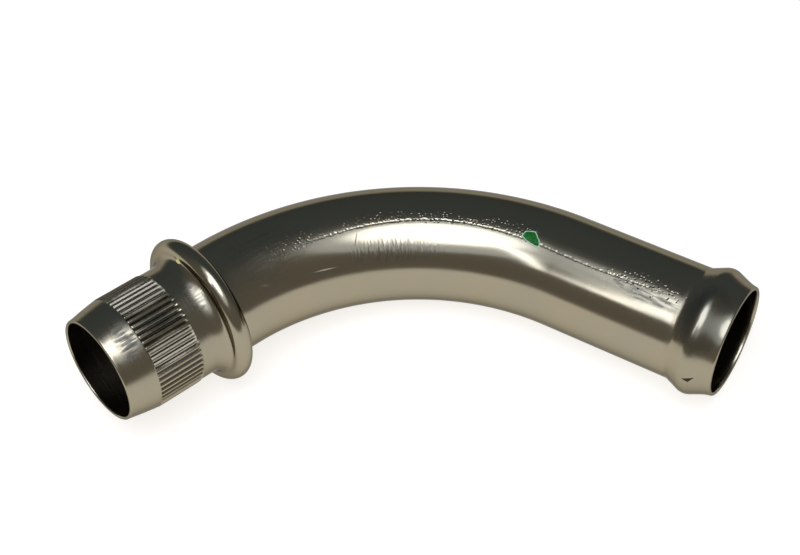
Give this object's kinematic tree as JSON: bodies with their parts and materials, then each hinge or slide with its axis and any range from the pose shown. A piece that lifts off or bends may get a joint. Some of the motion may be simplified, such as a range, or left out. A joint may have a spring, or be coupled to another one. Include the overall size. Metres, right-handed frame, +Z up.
{
  "type": "power steering pipe",
  "caption": "Bent plated steel pipe with a knurled press-in spigot and stop collar at one end and a beaded hose stub at the other, for power steering fluid.",
  "frame": {"origin": "centre of the pipe's footprint, on the surface that it lies on", "axes": "+Z up from that surface; +X runs along the spigot, seen from above, from its mouth towards the bend; the hose stub runs towards -Y"},
  "size_m": [0.0834, 0.0732, 0.024],
  "materials": {
    "plated_steel": "bright warm-grey plating over drawn steel tube, glossy, with fine handling scuffs"
  },
  "bodies": {
    "root": {"formed_pipe": "plated_steel"}
  },
  "joints": []
}
